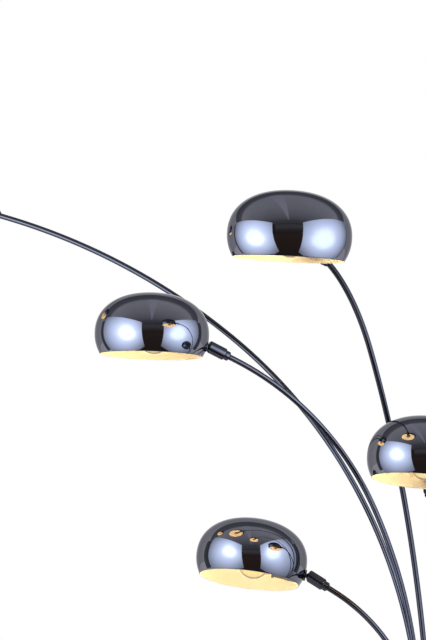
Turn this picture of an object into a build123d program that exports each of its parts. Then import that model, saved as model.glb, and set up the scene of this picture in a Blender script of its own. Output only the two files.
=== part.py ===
"""Tree floor lamp: a heavy round foot, one stem, a hub and five curved arms, each with a domed shade.

Millimetres, +Z up. The origin is the centre of the foot's underside. The photograph looks along +Y.
An arm turns in the hub about its own tube, its barrel turns on the arm's ferrule, and the shade tilts
on a ball that the barrel holds.
"""

import os
from math import asin, atan2, cos, degrees, radians, sin, sqrt

from build123d import *

# ---- fits ------------------------------------------------------------------------------------------
run_fit = 0.05  # radial clearance of a shaft that turns in its bore
seat_gap = 0.3  # space between two bodies whose faces meet across a moving joint
hole_fit = 0.1  # radial clearance of a fixed shank in its hole
skin_gap = 0.2  # space between a curved wall and the flat face that bears on it

# ---- foot ------------------------------------------------------------------------------------------
foot_d = 300.0
felt_t = 2.0
felt_inset = 4.0
plate_t = 6.0
plate_inset = 3.0
stone_t = 40.0
stone_edge = 4.0
bolt_d = 16.0
bolt_head_d = 30.0
bolt_head_t = 4.0
bolt_in_stem = 8.0
lead_hole_d = 8.0
rose_d = 62.0
rose_t = 12.0
rose_lip = 3.0
gland_d = 12.0
gland_collar_d = 18.0
gland_collar_t = 3.0
gland_length = 22.0
gland_bore = 6.4

# ---- stem and hub ----------------------------------------------------------------------------------
stem_d = 25.0
stem_wall = 1.5
stem_in_rose = 9.0
hub_top = 910.0
hub_d = 56.0
hub_rim_t = 10.0
hub_plug_d = 49.0
hub_plug_t = 20.0
cup_h = 74.0
cup_floor_t = 6.0
cup_socket = 16.0
cup_taper = 1.5
terminal_size = (22.0, 14.0, 12.0)
terminal_gap = 12.0
terminal_ways = 3
terminal_way_d = 4.0
terminal_post_d = 6.0

# ---- arms ------------------------------------------------------------------------------------------
tube_d = 10.0
tube_wall = 1.0
bundle_r = 18.0
tube_in_hub = 22.0
pivot_head_d = 11.6
pivot_head_t = 3.0
pivot_grip = 14.0
pivot_wall = 0.65
lead_fit = 0.1
lead_tail = 6.0
end_straight = 14.0

# One row per arm, from the highest shade to the lowest: its place round the bundle, the way it leans,
# the height where it starts to bend, the radius and angle of its first arc, the radius of its second
# arc and its whole bend, then how the barrel is rolled and how far the shade droops.
arm_rows = [
    dict(place=100.0, lean=176.1, bend_z=1028.0, r1=946.0, a1=49.5, r2=1220.0, a=72.4, roll=0.0, droop=13.5),
    dict(place=316.0, lean=243.9, bend_z=920.0, r1=1218.0, a1=38.1, r2=339.0, a=73.4, roll=-7.4, droop=16.5),
    dict(place=244.0, lean=199.3, bend_z=1065.0, r1=839.0, a1=25.4, r2=515.0, a=66.5, roll=-5.9, droop=16.4),
    dict(place=28.0, lean=265.8, bend_z=1142.0, r1=317.0, a1=25.2, r2=498.0, a=46.4, roll=-7.1, droop=34.9),
    dict(place=172.0, lean=177.0, bend_z=1056.0, r1=232.0, a1=31.6, r2=320.0, a=57.5, roll=7.3, droop=18.3),
]

# ---- shade joint -----------------------------------------------------------------------------------
ferrule_d = 17.0
ferrule_t = 9.0
ferrule_grip = 12.0
ferrule_edge = 2.5
spigot_d = 12.0
spigot_to_ball = 5.6
barrel_d = 21.5
barrel_l = 34.3
barrel_edge = 2.0
ball_d = 15.0
ball_from_mouth = 5.5
neck_d = 8.0
neck_dip = 7.0
neck_to_wall = 10.0
flange_d = 20.0
flange_t = 2.0
tilt_most = 45.0
tilt_gap = 0.55
flange_edge = 0.6
nipple_d = 10.0
nipple_l = 18.0
nipple_bore = 4.6
slot_fit = 0.5
slot_back = 1.0

# ---- shade and lamp --------------------------------------------------------------------------------
shade_r = 100.0
dome_h = 73.3
dome_power = 2.254
skirt_h = 81.9
rim_drop = 36.5
shade_wall = 1.5
joint_drop = 15.0
dome_steps = 7
nut_af = 17.0
nut_t = 4.0
nut_clear = 0.9
holder_d = 34.0
holder_l = 51.0
holder_wall = 2.0
holder_cap_t = 4.0
holder_lip_d = 38.0
holder_lip_t = 5.0
bulb_r = 30.0
bulb_wall = 1.0
bulb_stem_d = 26.0
bulb_stem_show = 6.0

os.makedirs("parts", exist_ok=True)
made = {}


def keep(name, solid):
    """Writes one node and remembers it."""
    made[name] = solid
    export_step(solid, f"parts/{name}.step")


def turned(points):
    """A solid of revolution about Z from a closed outline of (radius, height) points."""
    face = make_face(Polyline(*[(r, 0, z) for r, z in points], close=True))
    return revolve(face, axis=Axis.Z)


def drum(diameter, low, high, x=0.0, y=0.0):
    """An upright cylinder between two heights."""
    blank = Cylinder(diameter / 2, high - low, align=(Align.CENTER, Align.CENTER, Align.MIN))
    return Pos(x, y, low) * blank


# ---- heights of the foot and the hub ---------------------------------------------------------------
plate_z = felt_t
stone_z = plate_z + plate_t
stone_top = stone_z + stone_t
rose_top = stone_top + rose_t
stem_low = rose_top - stem_in_rose
hub_low = hub_top - hub_rim_t
plug_low = hub_low - hub_plug_t
cup_low = hub_low - cup_h
chamber_low = cup_low + cup_socket + cup_floor_t
stem_top = cup_low + cup_socket
shoulder_z = hub_top - tube_in_hub
tube_bore = tube_d - 2 * tube_wall
pivot_d = tube_bore - 2 * run_fit
lead_bore = pivot_d - 2 * pivot_wall
lead_d = lead_bore - 2 * lead_fit


def bundle_points():
    """Where each arm's tube stands round the hub's axis."""
    return [
        (bundle_r * cos(radians(row["place"])), bundle_r * sin(radians(row["place"])))
        for row in arm_rows
    ]


def foot():
    """The felt, the steel plate, the stone, the bolt through them and the rose on top."""
    hole = bolt_d + 2 * hole_fit
    head_room = bolt_head_d + 2
    felt = drum(foot_d - 2 * felt_inset, 0, felt_t)
    plate = drum(foot_d - 2 * plate_inset, plate_z, stone_z)
    plate -= drum(hole, plate_z, stone_z) + drum(head_room, plate_z, plate_z + bolt_head_t)
    stone = drum(foot_d, stone_z, stone_top)
    stone = fillet(stone.edges().group_by(Axis.Z)[-1], stone_edge)
    stone = chamfer(stone.edges().group_by(Axis.Z)[0], stone_edge / 4)
    stone -= drum(hole, stone_z, stone_top)
    gland_z = stone_z + stone_t / 2
    way = Pos(0, 0, gland_z) * Rot(-90, 0, 0) * drum(gland_d + 2 * hole_fit, 0, foot_d)
    stone -= way
    bolt = drum(bolt_head_d, plate_z, plate_z + bolt_head_t)
    bolt += drum(bolt_d, plate_z, stem_low + bolt_in_stem)
    bolt -= drum(lead_hole_d, plate_z, stem_low + bolt_in_stem)
    bolt -= Pos(0, 0, gland_z) * Rot(-90, 0, 0) * drum(lead_hole_d, 0, bolt_d)
    rose_r = rose_d / 2
    socket_r = stem_d / 2 + hole_fit
    outline = [
        (bolt_d / 2 + hole_fit, stone_top),
        (rose_r, stone_top),
        (rose_r, stone_top + rose_lip),
        (socket_r + rose_lip, rose_top),
        (socket_r, rose_top),
        (socket_r, stem_low),
        (bolt_d / 2 + hole_fit, stem_low),
    ]
    rose = turned(outline)
    keep("foot_felt", felt)
    keep("foot_plate", plate)
    keep("foot_stone", stone)
    keep("foot_bolt", bolt)
    keep("stem_rose", rose)
    collar_y = foot_d / 2
    gland = drum(gland_collar_d, collar_y, collar_y + gland_collar_t)
    gland = chamfer(gland.edges().group_by(Axis.Z)[-1], gland_collar_t / 3)
    gland += drum(gland_d, collar_y - gland_length, collar_y)
    gland -= drum(gland_bore, collar_y - gland_length, collar_y + gland_collar_t)
    keep("cord_gland", Pos(0, 0, gland_z) * Rot(-90, 0, 0) * gland)


def stem_and_hub():
    """The stem, the cup that caps it, the block that the arms stand in and the terminals below."""
    keep("stem_tube", drum(stem_d, stem_low, stem_top) - drum(stem_d - 2 * stem_wall, stem_low, stem_top))
    rim = hub_d / 2
    neck = stem_d / 2 + stem_wall + hole_fit
    bore = hub_plug_d / 2 + hole_fit
    socket_r = stem_d / 2 + hole_fit
    way = stem_d / 2 - stem_wall
    outline = [
        (socket_r, cup_low),
        (neck, cup_low),
        (neck + cup_taper, cup_low + cup_socket / 2),
        (rim, chamber_low + cup_floor_t),
        (rim, hub_low),
        (bore, hub_low),
        (bore, chamber_low + bore - way),
        (way, chamber_low),
        (way, stem_top),
        (socket_r, stem_top),
    ]
    keep("hub_cup", turned(outline))
    block = drum(hub_d, hub_low, hub_top)
    block = fillet(block.edges().group_by(Axis.Z)[-1], hub_rim_t / 4)
    block += drum(hub_plug_d, plug_low, hub_low)
    for x, y in bundle_points():
        block -= drum(tube_d + 2 * run_fit, shoulder_z, hub_top, x, y)
        block -= drum(pivot_d + 2 * run_fit, plug_low, shoulder_z, x, y)
    keep("hub_block", block)
    length, width, height = terminal_size
    top = plug_low - terminal_gap
    terminal = Pos(0, 0, top - height / 2) * Box(length, width, height)
    pitch = length / terminal_ways
    for step in range(terminal_ways):
        x = pitch * (step + 0.5) - length / 2
        terminal -= Pos(x, 0, top - height / 2) * Rot(90, 0, 0) * drum(terminal_way_d, -width, width)
    terminal += drum(terminal_post_d, top, plug_low)
    keep("terminal_block", terminal)


def arm_line(row):
    """The two arcs of an arm in its own upright plane: their ends, and the tangent at the far end."""
    a1, a = radians(row["a1"]), radians(row["a"])
    r1, r2 = row["r1"], row["r2"]

    def first(t):
        return r1 * (1 - cos(t)), row["bend_z"] + r1 * sin(t)

    def second(t):
        x, z = first(a1)
        return x + r2 * (cos(a1) - cos(t)), z + r2 * (sin(t) - sin(a1))

    return first, second, a1, a


def arm_end(row):
    """Where an arm's tube ends in its own upright plane, past the straight stretch after its bends."""
    _, second, _, a = arm_line(row)
    x, z = second(a)
    return x + end_straight * sin(a), z + end_straight * cos(a)


def arm_path(row, low, beyond=0.0):
    """The centre line of an arm: a straight rise, two arcs in one upright plane and a straight end."""
    first, second, a1, a = arm_line(row)
    x, z = arm_end(row)
    tip = (x + beyond * sin(a), z + beyond * cos(a))

    def point(pair):
        return (pair[0], 0, pair[1])

    rise = Line((0, 0, low), (0, 0, row["bend_z"]))
    lower = ThreePointArc(point(first(0)), point(first(a1 / 2)), point(first(a1)))
    upper = ThreePointArc(point(second(a1)), point(second((a1 + a) / 2)), point(second(a)))
    end = Line(point(second(a)), point(tip))
    return Wire([rise.edge(), lower.edge(), upper.edge(), end.edge()])


def swept(path, diameter, start):
    """A round bar along an arm's centre line."""
    return sweep(Plane(origin=start, z_dir=(0, 0, 1)) * Circle(diameter / 2), path=path)


def arm_places(row):
    """Frames of one arm: its foot in the hub, its far end, and its shade."""
    x, y = bundle_r * cos(radians(row["place"])), bundle_r * sin(radians(row["place"]))
    foot_place = Location((x, y, 0), (0, 0, row["lean"]))
    reach, height = arm_end(row)
    # At the arm's end Z runs on along the tube and X points down, the side that the slot is cut on.
    end_place = foot_place * Pos(reach, 0, height) * Rot(0, row["a"], 0) * Rot(0, 0, row["roll"])
    ball_place = end_place * Pos(0, 0, ball_up)
    # The head's own X points into the shade along the equator, and its Z up the shade's axis.
    head_place = ball_place * Rot(0, row["droop"], 0) * Rot(0, neck_dip - 90, 0)
    return foot_place, end_place, ball_place, head_place


# ---- where the neck meets the shade ----------------------------------------------------------------
joint_turn = asin(joint_drop / skirt_h)
joint_r = shade_r * cos(joint_turn)
wall_dip = degrees(atan2(joint_drop / skirt_h**2, joint_r / shade_r**2))
ball_r = ball_d / 2
ball_up = ferrule_t + seat_gap + barrel_l - ball_from_mouth
spigot_top = ball_up - ball_r - spigot_to_ball
ball_x = -(joint_r + neck_to_wall * cos(radians(neck_dip)))
ball_z = -(joint_drop + neck_to_wall * sin(radians(neck_dip)))
flange_low = neck_to_wall - flange_t
inner_wall = neck_to_wall + shade_wall


def shade_curve(radius, height):
    """One wall of the shade from crown to rim: a superelliptic dome, then an elliptic skirt."""
    share = 2 / dome_power
    turns = [radians(90 - 90 * step / dome_steps) for step in range(dome_steps)]
    points = [(radius * cos(t) ** share, height * sin(t) ** share) for t in turns]
    points[0] = (0, height)
    dome = Spline(points + [(radius, 0)], tangents=[(1, 0), (0, -1)])
    rim_turn = degrees(asin(rim_drop / skirt_h))
    skirt = EllipticalCenterArc((0, 0), radius, skirt_h, start_angle=-rim_turn, arc_size=rim_turn)
    return dome, skirt


def shade_blank(grown):
    """Half the outline of the shade's outer surface, filled to the axis and grown by a clearance."""
    dome, skirt = shade_curve(shade_r + grown, dome_h + grown)
    rim_share = sqrt(1 - (rim_drop / skirt_h) ** 2)
    floor = Line(((shade_r + grown) * rim_share, -rim_drop), (0, -rim_drop))
    return make_face([dome, skirt, floor, Line((0, -rim_drop), (0, dome_h + grown))])


def make_shade():
    """The spun shade in its own frame: origin on its axis at the widest circle, +Z up."""
    inner_r = shade_r - shade_wall
    inner_h = dome_h - shade_wall
    outer_dome, outer_skirt = shade_curve(shade_r, dome_h)
    inner_dome, inner_skirt = shade_curve(inner_r, inner_h)
    rim_share = sqrt(1 - (rim_drop / skirt_h) ** 2)
    rim = Line((shade_r * rim_share, -rim_drop), (inner_r * rim_share, -rim_drop))
    crown = Line((0, dome_h), (0, inner_h))
    face = make_face([outer_dome, outer_skirt, rim, inner_skirt, inner_dome, crown])
    shade = revolve(Plane.XZ * face, axis=Axis.Z)
    hole = drum(nipple_d + 2 * hole_fit, flange_low, inner_wall + nut_t)
    return shade - neck_place() * hole


def neck_place():
    """The ball's centre in the shade's frame, with Z along the neck into the shade."""
    return Pos(ball_x, 0, ball_z) * Rot(0, 90 - neck_dip, 0)


def make_ball():
    """Ball, neck, flange and threaded nipple in one turned piece, its flange dished to fit the wall."""
    ball = Sphere(ball_r) + drum(neck_d, 0, flange_low)
    flange = drum(flange_d, flange_low, neck_to_wall + flange_t)
    flange = chamfer(flange.edges().group_by(Axis.Z)[0], flange_edge)
    dome = revolve(Plane.XZ * shade_blank(skin_gap), axis=Axis.Z)
    flange -= neck_place().inverse() * dome
    nipple = drum(nipple_d, flange_low + flange_edge, neck_to_wall + nipple_l)
    ball = ball + flange.solids().sort_by(Axis.Z)[0] + nipple
    ball -= drum(nipple_bore, -ball_r, neck_to_wall + nipple_l)
    return neck_place() * ball


# The nut bears on the lower side of its hole, where the wall leans towards it.
nut_low = inner_wall + nut_af / 2 * sin(radians(wall_dip - neck_dip)) + nut_clear
holder_low = nut_low + nut_t + skin_gap
holder_top = holder_low + holder_l
bulb_up = holder_top + bulb_stem_show + bulb_r


def make_nut():
    """The hexagon nut that clamps the shade's wall against the neck's flange."""
    blank = extrude(Plane.XY.offset(nut_low) * RegularPolygon(nut_af / 2, 6, major_radius=False), nut_t)
    return neck_place() * (blank - drum(nipple_d + 2 * hole_fit, nut_low, nut_low + nut_t))


def make_holder():
    """The lampholder: a cup screwed on the nipple, open towards the bulb."""
    holder_r = holder_d / 2
    inner_r = holder_r - holder_wall
    nipple_r = nipple_d / 2 + hole_fit
    lip_r = holder_lip_d / 2
    floor_up = holder_low + holder_cap_t
    outline = [
        (nipple_r, holder_low),
        (holder_r - holder_wall, holder_low),
        (holder_r, holder_low + holder_wall),
        (holder_r, holder_top - holder_lip_t),
        (lip_r, holder_top - holder_lip_t),
        (lip_r, holder_top),
        (inner_r, holder_top),
        (inner_r, floor_up),
        (nipple_r, floor_up),
    ]
    return neck_place() * turned(outline)


def make_bulb():
    """A globe bulb: a thin envelope whose stem goes down in the lampholder."""
    low = holder_low + holder_cap_t + seat_gap
    bulb = Pos(0, 0, bulb_up) * Sphere(bulb_r) + drum(bulb_stem_d, low, bulb_up)
    hollow = Pos(0, 0, bulb_up) * Sphere(bulb_r - bulb_wall)
    hollow += drum(bulb_stem_d - 2 * bulb_wall, low, bulb_up)
    return neck_place() * (bulb - hollow)


def make_barrel():
    """The barrel on the arm's end: a bore for the spigot, a ball seat and a slot in its lower side."""
    radius = barrel_d / 2
    low = ferrule_t + seat_gap
    high = low + barrel_l
    cavity_r = ball_r + run_fit
    bore_r = spigot_d / 2 + run_fit
    bore_top = ball_up - sqrt(cavity_r**2 - bore_r**2)
    mouth_r = sqrt(cavity_r**2 - ball_from_mouth**2)
    outline = [
        (bore_r, low),
        (radius - barrel_edge, low),
        (radius, low + barrel_edge),
        (radius, high - barrel_edge),
        (radius - barrel_edge, high),
        (mouth_r, high),
        (mouth_r - 1, bore_top),
        (bore_r, bore_top),
    ]
    body = turned(outline) - Pos(0, 0, ball_up) * Sphere(cavity_r)
    half = neck_d / 2 + slot_fit
    slot_low = ball_up - slot_back
    slot = Pos(radius / 2, 0, slot_low + half + barrel_l / 2) * Box(radius, 2 * half, barrel_l)
    slot_end = Pos(0, 0, slot_low + half) * Rot(0, 90, 0) * drum(2 * half, 0, radius)
    # The mouth is cut slanting on the slot's side, clear of the flange when the shade droops the most.
    clear = Box(barrel_d * 2, barrel_d * 2, barrel_l, align=(Align.CENTER, Align.CENTER, Align.MIN))
    slant = Pos(0, 0, ball_up) * Rot(0, tilt_most, 0) * Pos(0, 0, flange_low - tilt_gap) * clear
    return body - slot - slot_end - slant


def make_ferrule():
    """The collar on the tube's end: a plug down in the tube and a spigot that the barrel turns on."""
    radius = ferrule_d / 2
    plug_r = tube_bore / 2 - run_fit
    top = spigot_top
    outline = [
        (lead_bore / 2, -ferrule_grip),
        (plug_r, -ferrule_grip),
        (plug_r, 0),
        (tube_d / 2, 0),
        (radius, ferrule_edge),
        (radius, ferrule_t),
        (spigot_d / 2, ferrule_t),
        (spigot_d / 2, top),
        (lead_bore / 2, top),
    ]
    return turned(outline)


def make_arm(number, row):
    """Every piece of one arm, from its pivot in the hub to its bulb."""
    foot_place, end_place, _, head_place = arm_places(row)
    path = arm_path(row, shoulder_z + run_fit)
    start = (0, 0, shoulder_z + run_fit)
    tube = swept(path, tube_d, start) - swept(path, tube_bore, start)
    keep(f"arm_{number}_tube", foot_place * tube)
    head_top = plug_low - seat_gap
    lead_low = head_top - pivot_head_t - lead_tail
    lead = swept(arm_path(row, lead_low, spigot_top), lead_d, (0, 0, lead_low))
    keep(f"arm_{number}_lead", foot_place * lead)
    pivot = drum(pivot_head_d, head_top - pivot_head_t, head_top)
    pivot += drum(pivot_d, head_top, shoulder_z + pivot_grip)
    pivot -= drum(lead_bore, head_top - pivot_head_t, shoulder_z + pivot_grip)
    keep(f"arm_{number}_pivot", foot_place * pivot)
    keep(f"arm_{number}_ferrule", end_place * make_ferrule())
    keep(f"barrel_{number}", end_place * make_barrel())
    keep(f"ball_neck_{number}", head_place * Pos(-ball_x, 0, -ball_z) * ball_piece)
    keep(f"shade_{number}", head_place * Pos(-ball_x, 0, -ball_z) * shade_piece)
    keep(f"shade_{number}_nut", head_place * Pos(-ball_x, 0, -ball_z) * nut_piece)
    keep(f"lampholder_{number}", head_place * Pos(-ball_x, 0, -ball_z) * holder_piece)
    keep(f"bulb_{number}", head_place * Pos(-ball_x, 0, -ball_z) * bulb_piece)


foot()
stem_and_hub()
ball_piece = make_ball()
shade_piece = make_shade()
nut_piece = make_nut()
holder_piece = make_holder()
bulb_piece = make_bulb()
for index, arm_row in enumerate(arm_rows, start=1):
    make_arm(index, arm_row)

print(f"{len(made)} nodes")
for index, arm_row in enumerate(arm_rows, start=1):
    _, end_place, ball_place, head_place = arm_places(arm_row)
    centre = head_place * Pos(-ball_x, 0, -ball_z)
    print("arm", index, "ball", ball_place.position, "shade centre", centre.position)
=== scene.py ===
import math

import bpy
import numpy as np
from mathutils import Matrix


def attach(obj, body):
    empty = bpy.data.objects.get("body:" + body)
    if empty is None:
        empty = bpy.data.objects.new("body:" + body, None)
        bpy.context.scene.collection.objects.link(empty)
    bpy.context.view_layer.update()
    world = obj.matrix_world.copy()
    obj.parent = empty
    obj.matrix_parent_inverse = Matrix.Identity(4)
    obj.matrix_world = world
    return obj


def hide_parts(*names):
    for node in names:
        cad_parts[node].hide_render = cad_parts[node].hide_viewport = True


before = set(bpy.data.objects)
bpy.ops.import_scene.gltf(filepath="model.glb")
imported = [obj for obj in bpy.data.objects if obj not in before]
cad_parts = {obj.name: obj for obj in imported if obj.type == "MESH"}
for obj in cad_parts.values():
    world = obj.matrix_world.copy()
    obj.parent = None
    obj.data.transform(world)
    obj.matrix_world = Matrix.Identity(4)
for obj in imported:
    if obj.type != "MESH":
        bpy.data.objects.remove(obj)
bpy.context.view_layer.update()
print("frame loaded:", len(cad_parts), "nodes")

# Five arms, from the highest shade to the lowest, in metres and degrees: place round the hub, lean,
# height where the bend starts, two arcs, and how the shade rolls and droops at the end.
armTable = [
    dict(place=100.0, lean=176.1, bendStart=1.028, radiusLow=0.946, angleLow=49.5,
         radiusHigh=1.220, angle=72.4, roll=0.0, droop=13.5),
    dict(place=316.0, lean=243.9, bendStart=0.920, radiusLow=1.218, angleLow=38.1,
         radiusHigh=0.339, angle=73.4, roll=-7.4, droop=16.5),
    dict(place=244.0, lean=199.3, bendStart=1.065, radiusLow=0.839, angleLow=25.4,
         radiusHigh=0.515, angle=66.5, roll=-5.9, droop=16.4),
    dict(place=28.0, lean=265.8, bendStart=1.142, radiusLow=0.317, angleLow=25.2,
         radiusHigh=0.498, angle=46.4, roll=-7.1, droop=34.9),
    dict(place=172.0, lean=177.0, bendStart=1.056, radiusLow=0.232, angleLow=31.6,
         radiusHigh=0.320, angle=57.5, roll=7.3, droop=18.3),
]


# colours and nodes

def linearColour(hexCode):  # sRGB hex to linear, each channel through the sRGB curve
    channels = [int(hexCode[i:i + 2], 16) / 255 for i in (1, 3, 5)]
    return [c / 12.92 if c <= 0.04045 else ((c + 0.055) / 1.055) ** 2.4 for c in channels] + [1.0]


def addNode(tree, kind, settings=None, feeds=None, to=None):
    # one node with its settings, its inputs set or linked, and its first output linked on; the setting
    # "stops" gives a colour ramp its (position, hex) pairs
    node = tree.nodes.new(kind)
    for name, value in (settings or {}).items():
        if name != "stops":
            setattr(node, name, value)
            continue
        elements = node.color_ramp.elements
        while len(elements) < len(value):
            elements.new(0.5)
        for element, (position, hexCode) in zip(elements, value):
            element.position, element.color = position, linearColour(hexCode)
    for name, value in (feeds or {}).items():
        if isinstance(value, bpy.types.NodeSocket):
            tree.links.new(value, node.inputs[name])
        else:
            node.inputs[name].default_value = value
    if to is not None:
        tree.links.new(node.outputs[0], to)
    return node


def newMaterial(name, **feeds):  # a material with one Principled shader, and its object coordinates
    material = bpy.data.materials.new(name)
    material.use_nodes = True
    tree = material.node_tree
    shader = tree.nodes["Principled BSDF"]
    for key, value in feeds.items():
        shader.inputs[key.replace("_", " ")].default_value = value
    coords = addNode(tree, "ShaderNodeTexCoord").outputs["Object"]
    return material, tree, shader, coords


# finishes

chrome = dict(edgeTint=(0.52, 0.52, 0.55, 1.0), hazeScale=22.0, hazeRoughness=0.6, clearer=0.6, duller=1.5)


def makeBlackChrome(name, roughness, low, high):
    # black chrome plated and polished: dark mirror, slightly blue and grey towards its edges, with the faint
    # haze that handling leaves in patches of about 45 mm
    material, tree, shader, coords = newMaterial(name, Metallic=1.0)
    shader.inputs["Specular Tint"].default_value = chrome["edgeTint"]
    haze = addNode(tree, "ShaderNodeTexNoise",
                   feeds={"Vector": coords, "Scale": chrome["hazeScale"], "Detail": 5.0,
                          "Roughness": chrome["hazeRoughness"]}).outputs["Fac"]
    addNode(tree, "ShaderNodeValToRGB", {"stops": [(0.3, low), (0.7, high)]}, {"Fac": haze},
            shader.inputs["Base Color"])
    addNode(tree, "ShaderNodeMapRange", None,
            {"Value": haze, "To Min": roughness * chrome["clearer"], "To Max": roughness * chrome["duller"]},
            shader.inputs["Roughness"])
    return material


enamel = dict(low="#f1ecdf", high="#f6f2e8", roughness=0.45, gloss=0.12, peelScale=900.0, cloudScale=18.0,
              peelStrength=0.15, peelDepth=0.0003, paintedGlowColour=(1.0, 0.58, 0.21, 1.0), paintedGlowInMirrors=4.6)


def makeInnerPaint():
    # white stoving enamel sprayed inside the shade: warm white, satin, with a fine orange peel of about 1 mm
    material, tree, shader, coords = newMaterial("whiteStovingEnamel", Roughness=enamel["roughness"])
    shader.inputs["Specular IOR Level"].default_value = enamel["gloss"]
    peel = addNode(tree, "ShaderNodeTexNoise",
                   feeds={"Vector": coords, "Scale": enamel["peelScale"], "Detail": 2.0})
    cloud = addNode(tree, "ShaderNodeTexNoise",
                    feeds={"Vector": coords, "Scale": enamel["cloudScale"], "Detail": 3.0})
    addNode(tree, "ShaderNodeValToRGB", {"stops": [(0.3, enamel["low"]), (0.7, enamel["high"])]},
            {"Fac": cloud.outputs["Fac"]}, shader.inputs["Base Color"])
    addNode(tree, "ShaderNodeBump", None, {"Height": peel.outputs["Fac"], "Strength": enamel["peelStrength"],
                                           "Distance": enamel["peelDepth"]}, shader.inputs["Normal"])
    # painted glow: the paint also emits warm light that only mirror rays see, so the chrome round it reflects
    # the lit paint brighter
    mirrored = addNode(tree, "ShaderNodeLightPath").outputs["Is Glossy Ray"]
    shader.inputs["Emission Color"].default_value = enamel["paintedGlowColour"]
    addNode(tree, "ShaderNodeMath", {"operation": "MULTIPLY"}, {0: mirrored, 1: enamel["paintedGlowInMirrors"]},
            shader.inputs["Emission Strength"])
    return material


opal = dict(roughness=0.25, facingBlend=0.3, glowStrength=0.45,
            # the dark last stops of both ramps are painted shade at the globe's edge
            skinWithEdgeShade=[(0.0, "#e6d39c"), (0.34, "#dcc68c"), (0.5, "#7d5128"), (1.0, "#5a3818")],
            glow=[(0.0, "#fbec98"), (0.34, "#eed684"), (0.48, "#6c4524"), (1.0, "#3a2412")])


def makeOpalGlass():
    # opal glass globe, lit from inside: even warm glow, with painted shade that darkens its colour and glow
    # to amber and brown where the wall is seen edge on
    material, tree, shader = newMaterial("opalGlassLit", Roughness=opal["roughness"])[:3]
    facing = addNode(tree, "ShaderNodeLayerWeight", feeds={"Blend": opal["facingBlend"]}).outputs["Facing"]
    for stops, socket in ((opal["skinWithEdgeShade"], "Base Color"), (opal["glow"], "Emission Color")):
        addNode(tree, "ShaderNodeValToRGB", {"stops": stops}, {"Fac": facing}, shader.inputs[socket])
    shader.inputs["Emission Strength"].default_value = opal["glowStrength"]
    return material


zinc = dict(low="#a9adb0", high="#c3c6c8", markScale=500.0, brightest=0.25, dullest=0.42)


def makeZincSteel():
    # bright zinc plated steel, machined: light grey with turning marks of about 2 mm
    material, tree, shader, coords = newMaterial("zincPlatedSteel", Metallic=1.0)
    mark = addNode(tree, "ShaderNodeTexNoise",
                   feeds={"Vector": coords, "Scale": zinc["markScale"], "Detail": 3.0}).outputs["Fac"]
    addNode(tree, "ShaderNodeValToRGB", {"stops": [(0.3, zinc["low"]), (0.7, zinc["high"])]}, {"Fac": mark},
            shader.inputs["Base Color"])
    addNode(tree, "ShaderNodeMapRange", None,
            {"Value": mark, "To Min": zinc["brightest"], "To Max": zinc["dullest"]},
            shader.inputs["Roughness"])
    return material


marble = dict(low="#0b0b0d", high="#17181b", vein="#77787a", roughness=0.12, cloudScale=9.0, cloudWarp=1.4,
              veinScale=3.0, veinWarp=16.0, veinWarpScale=2.2,
              veinEdge=[(0.0, "#ffffff"), (0.03, "#404040"), (0.08, "#000000")])


def makeMarble():
    # black marble, polished: near black, thin pale veins tens of millimetres apart, clear gloss
    material, tree, shader, coords = newMaterial("polishedBlackMarble", Roughness=marble["roughness"])
    cloud = addNode(tree, "ShaderNodeTexNoise", feeds={"Vector": coords, "Scale": marble["cloudScale"],
                                                       "Detail": 6.0, "Distortion": marble["cloudWarp"]})
    bands = addNode(tree, "ShaderNodeTexWave", {"wave_type": "BANDS", "bands_direction": "DIAGONAL"},
                    {"Vector": coords, "Scale": marble["veinScale"], "Distortion": marble["veinWarp"],
                     "Detail": 5.0, "Detail Scale": marble["veinWarpScale"]})
    thin = addNode(tree, "ShaderNodeValToRGB", {"stops": marble["veinEdge"]}, {"Fac": bands.outputs["Fac"]})
    dark = addNode(tree, "ShaderNodeValToRGB", {"stops": [(0.35, marble["low"]), (0.65, marble["high"])]},
                   {"Fac": cloud.outputs["Fac"]})
    mix = addNode(tree, "ShaderNodeMix", {"data_type": "RGBA"},  # inputs 6 and 7 are its two colours
                  {"Factor": thin.outputs["Color"], 6: dark.outputs["Color"],
                   7: linearColour(marble["vein"])})
    tree.links.new(mix.outputs[2], shader.inputs["Base Color"])
    return material


def makePlain(name, low, high, scale, roughness, bump=0.0, grain=0.0003):
    # a plain finish with a fine mottle between two tones: felt, powder coat, rubber or moulded plastic
    material, tree, shader, coords = newMaterial(name, Roughness=roughness)
    mottle = addNode(tree, "ShaderNodeTexNoise",
                     feeds={"Vector": coords, "Scale": scale, "Detail": 4.0}).outputs["Fac"]
    addNode(tree, "ShaderNodeValToRGB", {"stops": [(0.35, low), (0.65, high)]}, {"Fac": mottle},
            shader.inputs["Base Color"])
    if bump:
        addNode(tree, "ShaderNodeBump", None, {"Height": mottle, "Strength": bump, "Distance": grain},
                shader.inputs["Normal"])
    return material


# spun sheet is the clearest mirror, drawn tube has a faint haze and turned parts the most
shadeChrome = makeBlackChrome("blackChromeSpun", 0.045, "#686970", "#6f7078")
tubeChrome = makeBlackChrome("blackChromeTube", 0.11, "#3d3d42", "#444449")
turnedChrome = makeBlackChrome("blackChromeTurned", 0.16, "#414146", "#48484e")
innerPaint = makeInnerPaint()
opalGlass = makeOpalGlass()
# glass-filled polyester, moulded: warm grey, matt, with the 3 mm mottle of the filler
holderPlastic = makePlain("mouldedPolyester", "#6e6153", "#7c6e5e", 350.0, 0.55, 0.1, 0.0002)
zincSteel = makeZincSteel()
blackMarble = makeMarble()
# needled wool felt: black, fully matt, fibre clumps under 1 mm
felt = makePlain("needledFelt", "#0c0c0d", "#1d1d1f", 1400.0, 0.95, 0.6)
# polyester powder coat on steel: black, satin, with a fine grain
powderCoat = makePlain("blackPowderCoat", "#101012", "#17171a", 1200.0, 0.5, 0.25)
# moulded rubber: black, dull, with a soft skin of 2 mm lumps
rubber = makePlain("mouldedRubber", "#0e0e0f", "#18181a", 500.0, 0.6, 0.1)
# extruded flexible sheath: black, slightly shiny, smooth
sheath = makePlain("extrudedSheath", "#0a0a0b", "#131315", 300.0, 0.4)
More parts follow.
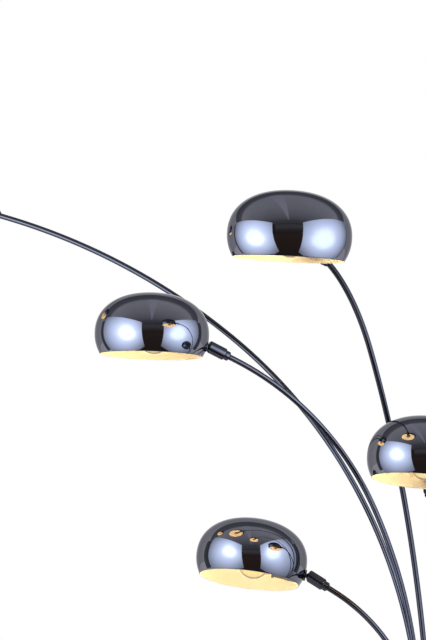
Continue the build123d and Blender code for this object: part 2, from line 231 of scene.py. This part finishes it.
# moulded polyamide: off-white, satin, smooth
terminalPlastic = makePlain("mouldedPolyamide", "#d8d6cd", "#e4e2da", 300.0, 0.45)
print("materials made")


# places

def turnY(degreesTurned):  # a right-handed turn about the Y axis
    c, s = math.cos(math.radians(degreesTurned)), math.sin(math.radians(degreesTurned))
    return np.array([[c, 0, s], [0, 1, 0], [-s, 0, c]])


def turnZ(degreesTurned):  # a right-handed turn about the Z axis
    c, s = math.cos(math.radians(degreesTurned)), math.sin(math.radians(degreesTurned))
    return np.array([[c, -s, 0], [s, c, 0], [0, 0, 1]])


joint = dict(bundle=0.018, straightEnd=0.014, ballUp=0.0381, neckDip=7.0, neckToWall=0.010, drop=0.015)
shade = dict(radius=0.1, domeHeight=0.0733, power=2.254, skirtHeight=0.0819, rimDrop=0.0365, wall=0.0015,
             rimRound=0.0006, around=160, along=56, sharpAngle=50.0)


def armPlaces(row):
    # the arm's foot and ball, the shade's centre and axes, and the neck's axes: each arc reaches out by its
    # radius times the fall in cosine and rises by its radius times the gain in sine, and the shade is set so
    # that a neck square to its wall ends in the ball
    foot = np.array([joint["bundle"] * math.cos(math.radians(row["place"])),
                     joint["bundle"] * math.sin(math.radians(row["place"])), 0.0])
    low, full = math.radians(row["angleLow"]), math.radians(row["angle"])
    reach = row["radiusLow"] * (1 - math.cos(low)) + row["radiusHigh"] * (math.cos(low) - math.cos(full))
    height = row["bendStart"] + row["radiusLow"] * math.sin(low)
    height += row["radiusHigh"] * (math.sin(full) - math.sin(low))
    reach += joint["straightEnd"] * math.sin(full)
    height += joint["straightEnd"] * math.cos(full)
    end = foot + turnZ(row["lean"]) @ np.array([reach, 0, height])
    endAxes = turnZ(row["lean"]) @ turnY(row["angle"]) @ turnZ(row["roll"])
    ball = end + endAxes @ np.array([0, 0, joint["ballUp"]])
    headAxes = endAxes @ turnY(row["droop"]) @ turnY(joint["neckDip"] - 90)
    turn = math.asin(joint["drop"] / shade["skirtHeight"])
    dip = math.radians(joint["neckDip"])
    ballX = -(shade["radius"] * math.cos(turn) + joint["neckToWall"] * math.cos(dip))
    ballZ = -(joint["drop"] + joint["neckToWall"] * math.sin(dip))
    centre = ball - headAxes @ np.array([ballX, 0, ballZ])
    neckAxes = headAxes @ turnY(90 - joint["neckDip"])
    return dict(foot=foot, ball=ball, headAxes=headAxes, centre=centre, neckAxes=neckAxes)


# mesh builders

def meshFromGrid(name, grid, materials, startPole=None, endPole=None, faceMaterial=None, sharpAngle=35.0):
    # rows of points, each row a closed ring; a pole closes each end with a fan
    rows, columns = grid.shape[:2]
    index = np.arange(rows * columns).reshape(rows, columns)
    nextColumn = np.roll(index, -1, axis=1)
    quads = np.stack([index[:-1], nextColumn[:-1], nextColumn[1:], index[1:]], axis=-1).reshape(-1, 4)
    points = [grid.reshape(-1, 3)]
    faces = quads.tolist()
    slots = [] if faceMaterial is None else np.repeat(faceMaterial, columns).tolist()
    total = rows * columns
    for pole, ring, turned in ((startPole, index[0], True), (endPole, index[-1], False)):
        if pole is None:
            continue
        points.append(np.asarray(pole, float).reshape(1, 3))
        following = np.roll(ring, -1)
        fan = np.stack([following, ring, np.full(columns, total)] if turned
                       else [ring, following, np.full(columns, total)], axis=-1)
        faces += fan.tolist()
        if slots:
            slots += [slots[0] if turned else slots[len(quads) - 1]] * columns
        total += 1
    mesh = bpy.data.meshes.new(name)
    mesh.from_pydata(np.concatenate(points).tolist(), [], faces)
    for material in materials:
        mesh.materials.append(material)
    if slots:
        mesh.polygons.foreach_set("material_index", np.array(slots, dtype=np.int32))
    mesh.shade_smooth()
    mesh.set_sharp_from_angle(angle=math.radians(sharpAngle))
    piece = bpy.data.objects.new(name, mesh)
    bpy.context.scene.collection.objects.link(piece)
    return piece


def lathe(name, profile, origin, axes, materials, around, faceMaterial, sharpAngle):
    # a profile of (radius, height) turned about the local Z; one that starts or ends on the axis gets a pole
    profile = np.asarray(profile, float)
    startPole = endPole = None
    inner = profile
    onAxis = 1e-9
    if profile[0, 0] < onAxis:
        startPole, inner = np.array([0, 0, profile[0, 1]]), inner[1:]
    if profile[-1, 0] < onAxis:
        endPole, inner = np.array([0, 0, profile[-1, 1]]), inner[:-1]
    angle = np.linspace(0, 2 * np.pi, around, endpoint=False)
    grid = np.stack([inner[:, :1] * np.cos(angle), inner[:, :1] * np.sin(angle),
                     np.repeat(inner[:, 1:], around, axis=1)], axis=-1)
    grid = origin + grid @ axes.T
    if startPole is not None:
        startPole = origin + axes @ startPole
    if endPole is not None:
        endPole = origin + axes @ endPole
    return meshFromGrid(name, grid, materials, startPole, endPole, faceMaterial, sharpAngle)


def rounded(corners, radius, steps=3, mostOfSide=0.45):
    # an outline whose inner corners are cut short: each corner becomes points along a quadratic curve
    corners = np.asarray(corners, float)
    out = [corners[0]]
    for before, corner, after in zip(corners[:-2], corners[1:-1], corners[2:]):
        back, ahead = before - corner, after - corner
        cut = min(radius, mostOfSide * np.linalg.norm(back), mostOfSide * np.linalg.norm(ahead))
        a, b = corner + back / np.linalg.norm(back) * cut, corner + ahead / np.linalg.norm(ahead) * cut
        t = np.linspace(0, 1, steps + 1)[:, None]
        out += list((1 - t) ** 2 * a + 2 * t * (1 - t) * corner + t ** 2 * b)
    out.append(corners[-1])
    return np.array(out)


# shades

def wallOutline(radius, height, skirt, rim, steps):
    # a superellipse from crown to widest circle, then an ellipse down to the rim
    t = np.linspace(0, 1, steps)
    bend = np.pi / 2 * (1 - t)
    power = 2 / shade["power"]
    dome = np.stack([radius * np.cos(bend) ** power, height * np.sin(bend) ** power], 1)
    dome[0, 0] = 0
    drop = np.linspace(0, math.asin(rim / skirt), steps // 3)[1:]
    lower = np.stack([radius * np.cos(drop), -skirt * np.sin(drop)], 1)
    return np.concatenate([dome, lower])


def makeShade(number, place):
    # the outer outline down, a rounded rim, and the inner outline back up, turned about the shade's axis
    radius, height, wall = shade["radius"], shade["domeHeight"], shade["wall"]
    below = shade["skirtHeight"], shade["rimDrop"], shade["along"]
    outer = wallOutline(radius, height, *below)
    inner = wallOutline(radius - wall, height - wall, *below)
    rim = rounded([outer[-2], outer[-1], inner[-1], inner[-2]], shade["rimRound"])[1:-1]
    profile = np.concatenate([outer[:-1], rim, inner[:-1][::-1]])
    rows = len(profile) - 3  # rows of faces between the two poles
    slots = np.zeros(rows, dtype=int)
    slots[len(outer) + 2:] = 1  # past the rim comes the paint
    piece = lathe(f"shadeShell{number}", profile[::-1], place["centre"], place["headAxes"],
                  [shadeChrome, innerPaint], shade["around"], slots[::-1], shade["sharpAngle"])
    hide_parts(f"shade_{number}")
    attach(piece, f"head_{number}")


# arms

tube = dict(radius=0.005, shoulder=0.888, around=40, step=0.006, risePoints=14)


def makeArm(number, row, place):
    # a straight rise, two arcs in one upright plane and a straight end, with a ring of points square to each
    # tangent
    low, full = math.radians(row["angleLow"]), math.radians(row["angle"])
    stepLow = int(row["radiusLow"] * low / tube["step"]) + 2
    stepHigh = int(row["radiusHigh"] * (full - low) / tube["step"]) + 2
    rise = np.linspace(tube["shoulder"], row["bendStart"], tube["risePoints"])[:-1]
    bendLow = np.linspace(0, low, stepLow)
    bendHigh = np.linspace(low, full, stepHigh)[1:]
    x1, z1 = row["radiusLow"] * (1 - np.cos(bendLow)), row["bendStart"] + row["radiusLow"] * np.sin(bendLow)
    x2 = x1[-1] + row["radiusHigh"] * (math.cos(low) - np.cos(bendHigh))
    z2 = z1[-1] + row["radiusHigh"] * (np.sin(bendHigh) - math.sin(low))
    tail = np.array([0.5, 1.0]) * joint["straightEnd"]
    x = np.concatenate([0 * rise, x1, x2, x2[-1] + tail * math.sin(full)])
    z = np.concatenate([rise, z1, z2, z2[-1] + tail * math.cos(full)])
    angle = np.concatenate([0 * rise, bendLow, bendHigh, [full, full]])
    centre = np.stack([x, 0 * x, z], 1)
    outward = np.stack([np.cos(angle), 0 * angle, -np.sin(angle)], 1)
    side = np.array([0.0, 1.0, 0.0])
    v = np.linspace(0, 2 * np.pi, tube["around"], endpoint=False)
    ring = outward[:, None, :] * np.cos(v)[None, :, None] + side * np.sin(v)[None, :, None]
    grid = place["foot"] + (centre[:, None, :] + tube["radius"] * ring) @ turnZ(row["lean"]).T
    ends = place["foot"] + centre[[0, -1]] @ turnZ(row["lean"]).T
    piece = meshFromGrid(f"armTube{number}", grid, [tubeChrome], ends[0], ends[1])
    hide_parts(f"arm_{number}_tube")
    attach(piece, f"arm_{number}")


# lamps

# heights run along the neck, outwards from the ball
holderShape = dict(low=0.01746, radius=0.017, length=0.051, lipRadius=0.019, lipLength=0.005, edge=0.002,
                   lipEdge=0.0006, lipSlope=0.0004, wellDepth=0.012, around=64, sharpAngle=30.0)
gripShape = dict(rings=4, below=0.018, pitch=0.004, depth=0.0006, slopeEnd=0.0007, floorEnd=0.0013,
                 width=0.002)
bulbShape = dict(radius=0.030, stemRadius=0.013, stemShow=0.006, stemTop=0.001, stemInWell=0.0115,
                 shoulder=1.35, around=96, along=40, sharpAngle=60.0)
bulbGlow = dict(energy=0.44, colour=(1.0, 0.83, 0.38), size=0.026)


def makeHolder(number, place):
    # an outline of the closed back, a straight side with grip rings, a lip and the well, turned about the
    # neck's axis
    holderTop = holderShape["low"] + holderShape["length"]
    low, r, edge = holderShape["low"], holderShape["radius"], holderShape["edge"]
    lip, lipEdge = holderShape["lipRadius"], holderShape["lipEdge"]
    skirtTop = holderTop - holderShape["lipLength"]
    grooveRadius = r - gripShape["depth"]
    grooves = []
    for step in range(gripShape["rings"]):
        z = skirtTop - gripShape["below"] + step * gripShape["pitch"]
        grooves += [(r, z), (grooveRadius, z + gripShape["slopeEnd"]),
                    (grooveRadius, z + gripShape["floorEnd"]), (r, z + gripShape["width"])]
    outline = [(0, low), (r - edge, low), (r, low + edge)] + grooves
    wellFloor = holderTop - holderShape["wellDepth"]
    outline += [(r, skirtTop), (lip, skirtTop + holderShape["lipSlope"]), (lip, holderTop - lipEdge),
                (lip - lipEdge, holderTop), (r - edge, holderTop), (r - edge, wellFloor), (0, wellFloor)]
    holder = lathe(f"lampHolder{number}", outline, place["ball"], place["neckAxes"], [holderPlastic],
                   holderShape["around"], None, holderShape["sharpAngle"])
    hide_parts(f"lampholder_{number}")
    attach(holder, f"head_{number}")
    return holderTop


def makeBulb(number, place, holderTop):
    # a short straight stem and a circle's arc from its edge to the pole, turned about the neck's axis, with a
    # light inside
    radius, stem = bulbShape["radius"], bulbShape["stemRadius"]
    bulbUp = holderTop + bulbShape["stemShow"] + radius
    meet = math.asin(stem / radius)
    t = np.linspace(np.pi - meet * bulbShape["shoulder"], 0, bulbShape["along"])
    globe = np.stack([radius * np.sin(t), bulbUp + radius * np.cos(t)], 1)
    globe[-1, 0] = 0
    stemLow = holderTop - bulbShape["stemInWell"]
    base = np.array([(0, stemLow), (stem, stemLow), (stem, holderTop + bulbShape["stemTop"])])
    bulb = lathe(f"globeBulb{number}", np.concatenate([base, globe]), place["ball"], place["neckAxes"],
                 [opalGlass], bulbShape["around"], None, bulbShape["sharpAngle"])
    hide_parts(f"bulb_{number}")
    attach(bulb, f"head_{number}")
    bulb.visible_shadow = False

    source = bpy.data.lights.new(f"bulbLight{number}", "POINT")
    source.energy = bulbGlow["energy"]
    source.color = bulbGlow["colour"]
    source.shadow_soft_size = bulbGlow["size"]
    bulbLight = bpy.data.objects.new(f"bulbLight{number}", source)
    bulbLight.location = place["ball"] + place["neckAxes"] @ np.array([0, 0, bulbUp])
    bulbLight.visible_glossy = False
    bpy.context.scene.collection.objects.link(bulbLight)
    bulbLight.parent = bulb


for number, row in enumerate(armTable, start=1):
    place = armPlaces(row)
    makeShade(number, place)
    makeArm(number, row, place)
    makeBulb(number, place, makeHolder(number, place))
print("arms, shades and lamps made")

# the other pieces keep the solids' own meshes and get their finishes
finishOf = {"foot_felt": felt, "foot_plate": powderCoat, "foot_stone": blackMarble, "foot_bolt": zincSteel,
            "stem_rose": turnedChrome, "cord_gland": rubber, "stem_tube": tubeChrome, "hub_cup": turnedChrome,
            "hub_block": turnedChrome, "terminal_block": terminalPlastic}
for number in range(1, 6):
    finishOf.update({f"arm_{number}_lead": sheath, f"arm_{number}_pivot": zincSteel,
                     f"arm_{number}_ferrule": turnedChrome, f"barrel_{number}": turnedChrome,
                     f"ball_neck_{number}": turnedChrome, f"shade_{number}_nut": zincSteel})
for name, material in finishOf.items():
    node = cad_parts[name]
    node.data.materials.clear()
    node.data.materials.append(material)
print("finishes given to", len(finishOf), "nodes")


# studio

def glossOnly(piece):  # a card that shows in mirrors only and lights nothing
    piece.visible_camera = False
    piece.visible_diffuse = False
    piece.visible_transmission = False
    piece.visible_shadow = False


def makeCard(name, corners, size, material):
    # a flat card from four corners, with its own size in metres as its UV map
    mesh = bpy.data.meshes.new(name)
    mesh.from_pydata([tuple(corner) for corner in corners], [], [(0, 1, 2, 3)])
    layer = mesh.uv_layers.new(name="metres")
    layer.data.foreach_set("uv", np.array([0, 0, size[0], 0, size[0], size[1], 0, size[1]], dtype=np.float32))
    mesh.materials.append(material)
    card = bpy.data.objects.new(name, mesh)
    bpy.context.scene.collection.objects.link(card)
    return card


def seenRays(tree):  # 1 for what the camera, mirrors and glass see, 0 for light that falls on things
    rays = addNode(tree, "ShaderNodeLightPath").outputs
    seen = addNode(tree, "ShaderNodeMath", {"operation": "MAXIMUM"},
                   {0: rays["Is Camera Ray"], 1: rays["Is Glossy Ray"]}).outputs[0]
    return addNode(tree, "ShaderNodeMath", {"operation": "MAXIMUM"},
                   {0: seen, 1: rays["Is Transmission Ray"]}).outputs[0]


ground = dict(size=24.0, colour="#e9e9ea", roughness=0.8, glowFrom=0.9, glowTo=4.5, nearGlow=0.18,
              farGlow=1.0)


def makeFloor():
    # painted floor that fades into the white backdrop with the distance from the lamp
    half = ground["size"] / 2
    material, tree, shader, coords = newMaterial("paintedFloor", Roughness=ground["roughness"])
    shader.inputs["Base Color"].default_value = linearColour(ground["colour"])
    far = addNode(tree, "ShaderNodeVectorMath", {"operation": "LENGTH"}, {0: coords}).outputs["Value"]
    glow = addNode(tree, "ShaderNodeMapRange", {"interpolation_type": "SMOOTHSTEP"},
                   {"Value": far, "From Min": ground["glowFrom"], "From Max": ground["glowTo"],
                    "To Min": ground["nearGlow"], "To Max": ground["farGlow"]}).outputs["Result"]
    shader.inputs["Emission Color"].default_value = (1.0, 1.0, 1.0, 1.0)
    addNode(tree, "ShaderNodeMath", {"operation": "MULTIPLY"}, {0: seenRays(tree), 1: glow},
            shader.inputs["Emission Strength"])
    corners = [(-half, -half, 0), (half, -half, 0), (half, half, 0), (-half, half, 0)]
    makeCard("floor", corners, (1, 1), material)


def glowMaterial(name):  # a plain emitter that reads its card's own UV map
    material = bpy.data.materials.new(name)
    material.use_nodes = True
    tree = material.node_tree
    tree.nodes.remove(tree.nodes["Principled BSDF"])
    light = addNode(tree, "ShaderNodeEmission", to=tree.nodes["Material Output"].inputs["Surface"])
    uv = addNode(tree, "ShaderNodeTexCoord").outputs["UV"]
    return material, tree, light, uv


# two large diffusers flank the camera, each a leaning card from its inner to its outer edge
diffuser = dict(axisX=-0.375, inner=(0.595, -1.70), outer=(1.46, 0.27), innerTop=2.17, outerTop=2.46,
                height=2.3, hotSpot=(0.82, 1.52), reach=1.9, colour="#d3dff6", leftPeak=11.3, rightPeak=9.8,
                fall=[(0.0, 1.0), (0.14, 0.9), (0.26, 0.56), (0.45, 0.34), (0.7, 0.17), (1.0, 0.08)])


def makePanelGlow(name, peak):
    # a diffuser lit from behind: brightest at the lamp's place, falling off round it
    material, tree, light, uv = glowMaterial(name)
    far = addNode(tree, "ShaderNodeVectorMath", {"operation": "DISTANCE"},
                  {0: uv, 1: (*diffuser["hotSpot"], 0.0)}).outputs["Value"]
    fall = addNode(tree, "ShaderNodeMapRange", feeds={"Value": far, "From Max": diffuser["reach"]})
    curve = addNode(tree, "ShaderNodeFloatCurve", feeds={"Value": fall.outputs["Result"]})
    points = curve.mapping.curves[0].points
    points[0].location, points[1].location = diffuser["fall"][0], diffuser["fall"][-1]
    for point in diffuser["fall"][1:-1]:
        points.new(*point)
    curve.mapping.update()
    light.inputs["Color"].default_value = linearColour(diffuser["colour"])
    addNode(tree, "ShaderNodeMath", {"operation": "MULTIPLY"}, {0: curve.outputs["Value"], 1: peak},
            light.inputs["Strength"])
    return material


def makeDiffusers():
    # the same card on both sides of the camera, mirrored across its axis
    inner, outer = diffuser["inner"], diffuser["outer"]
    width = math.dist(inner, outer)
    for name, side, peak in (("leftDiffuser", -1, diffuser["leftPeak"]),
                             ("rightDiffuser", 1, diffuser["rightPeak"])):
        glow = makePanelGlow(name + "Glow", peak)
        innerX, outerX = diffuser["axisX"] + side * inner[0], diffuser["axisX"] + side * outer[0]
        corners = [(innerX, inner[1], 0.0), (outerX, outer[1], 0.0),
                   (outerX, outer[1], diffuser["outerTop"]), (innerX, inner[1], diffuser["innerTop"])]
        glossOnly(makeCard(name, corners, (width, diffuser["height"]), glow))


# the darker room between and above the diffusers, each surface with its grey levels along one side
room = dict(left=-3.9, right=3.1, front=-7.5, top=3.2, ceilingBack=1.2, sideBack=1.8, floorBack=-0.7,
            ceiling=[(0.0, "#605e61"), (0.41, "#84848a"), (0.64, "#bcbdc5"), (0.87, "#eeeff6"),
                     (0.9, "#9a9aa0"), (1.0, "#8c8c92")],
            beam=[(0.0, "#b8b8c4"), (0.3, "#e4e4f4"), (1.0, "#f4f4ff")],
            wall=[(0.0, "#5e4d47"), (0.3, "#534641"), (0.5, "#5f5758"), (0.7, "#7a7778"), (1.0, "#7e7c81")],
            side=[(0.0, "#504340"), (0.8, "#505055"), (1.0, "#8c8c92")],
            floor=[(0.0, "#5e4d45"), (1.0, "#50423c")], floorLift=0.004)
beam = dict(front=-3.6, back=0.2, frontX=(-0.45, -0.33), backX=(-0.56, -0.30), below=0.02, width=0.2)


def makeGradientGlow(name, axis, length, stops):
    # a card whose brightness runs along one side, from (place, grey level) pairs
    material, tree, light, uv = glowMaterial(name)
    along = addNode(tree, "ShaderNodeSeparateXYZ", feeds={"Vector": uv}).outputs[axis]
    share = addNode(tree, "ShaderNodeMapRange", feeds={"Value": along, "From Max": length}).outputs["Result"]
    addNode(tree, "ShaderNodeValToRGB", {"stops": stops}, {"Fac": share}, light.inputs["Color"])
    return material


def makeRoom():
    # ceiling with a lit beam, the wall behind the camera, two sides and a strip of floor
    left, right, front, top = room["left"], room["right"], room["front"], room["top"]
    width = right - left

    def level(name, z, back, stops):  # a level card from the room's front to its back
        depth = back - front
        glow = makeGradientGlow(name + "Glow", 1, depth, stops)
        glossOnly(makeCard(name, [(left, front, z), (right, front, z), (right, back, z), (left, back, z)],
                           (width, depth), glow))

    level("ceiling", top, room["ceilingBack"], room["ceiling"])
    beamZ, beamLength = top - beam["below"], beam["back"] - beam["front"]
    beamGlow = makeGradientGlow("ceilingBeamGlow", 1, beamLength, room["beam"])
    glossOnly(makeCard("ceilingBeam",
                       [(beam["frontX"][0], beam["front"], beamZ), (beam["frontX"][1], beam["front"], beamZ),
                        (beam["backX"][1], beam["back"], beamZ), (beam["backX"][0], beam["back"], beamZ)],
                       (beam["width"], beamLength), beamGlow))
    wallGlow = makeGradientGlow("roomWallGlow", 1, top, room["wall"])
    glossOnly(makeCard("roomWall", [(left, front, 0), (right, front, 0), (right, front, top),
                                    (left, front, top)], (width, top), wallGlow))
    depth = room["sideBack"] - front
    sideGlow = makeGradientGlow("roomSideGlow", 0, depth, room["side"])
    for name, x in (("roomLeft", left), ("roomRight", right)):
        glossOnly(makeCard(name, [(x, front, 0), (x, room["sideBack"], 0), (x, room["sideBack"], top),
                                  (x, front, top)], (depth, top), sideGlow))
    level("roomFloor", room["floorLift"], room["floorBack"], room["floor"])


keyLight = dict(size=(2.2, 2.0), reach=2.3, front=-2.2, height=2.3, aim=(0.0, 0.0, 1.1), left=46.0,
                right=40.0, colour=(0.95, 0.97, 1.0))


def makeKeyLights():
    # soft light from the diffusers' places, kept out of the mirrors
    for name, side, energy in (("keyLeft", -1, keyLight["left"]), ("keyRight", 1, keyLight["right"])):
        source = bpy.data.lights.new(name, "AREA")
        source.shape = "RECTANGLE"
        source.size, source.size_y = keyLight["size"]
        source.energy = energy
        source.color = keyLight["colour"]
        key = bpy.data.objects.new(name, source)
        key.location = (diffuser["axisX"] + side * keyLight["reach"], keyLight["front"], keyLight["height"])
        aim = np.array(keyLight["aim"]) - np.array(key.location)
        key.rotation_euler = (math.atan2(math.hypot(aim[0], aim[1]), -aim[2]), 0,
                              math.atan2(aim[1], aim[0]) - math.pi / 2)
        key.visible_glossy = False
        key.visible_camera = False
        bpy.context.scene.collection.objects.link(key)


backdrop = dict(asLight=0.55, asSeen=1.0)


def makeWorld():
    # white to the eye, and a softer white as light
    world = bpy.data.worlds.new("studioWorld")
    bpy.context.scene.world = world
    world.use_nodes = True
    tree = world.node_tree
    back = tree.nodes["Background"]
    addNode(tree, "ShaderNodeMapRange", None, {"Value": seenRays(tree), "To Min": backdrop["asLight"],
                                               "To Max": backdrop["asSeen"]}, back.inputs["Strength"])
    back.inputs["Color"].default_value = (1.0, 1.0, 1.0, 1.0)


# focalPixels is the focal length in pixels of a picture that is heightPixels high
cameraView = dict(place=(-0.3711, -4.0, 1.0), rise=10.955, sensor=24.0, focalPixels=2229.0,
                  heightPixels=640.0)


def makeCamera():
    # level sideways and tilted up; its lens is the sensor's height times focal length over picture height
    scene = bpy.context.scene
    view = bpy.data.cameras.new("photoCamera")
    view.sensor_fit = "VERTICAL"
    view.sensor_height = cameraView["sensor"]
    view.lens = cameraView["sensor"] * cameraView["focalPixels"] / cameraView["heightPixels"]
    view.clip_end = 100.0
    camera = bpy.data.objects.new("photoCamera", view)
    camera.location = cameraView["place"]
    camera.rotation_euler = (math.radians(90 + cameraView["rise"]), 0, 0)
    scene.collection.objects.link(camera)
    scene.camera = camera
    scene.view_settings.view_transform = "Standard"


makeFloor()
makeDiffusers()
makeRoom()
makeKeyLights()
makeWorld()
makeCamera()
print("studio set")
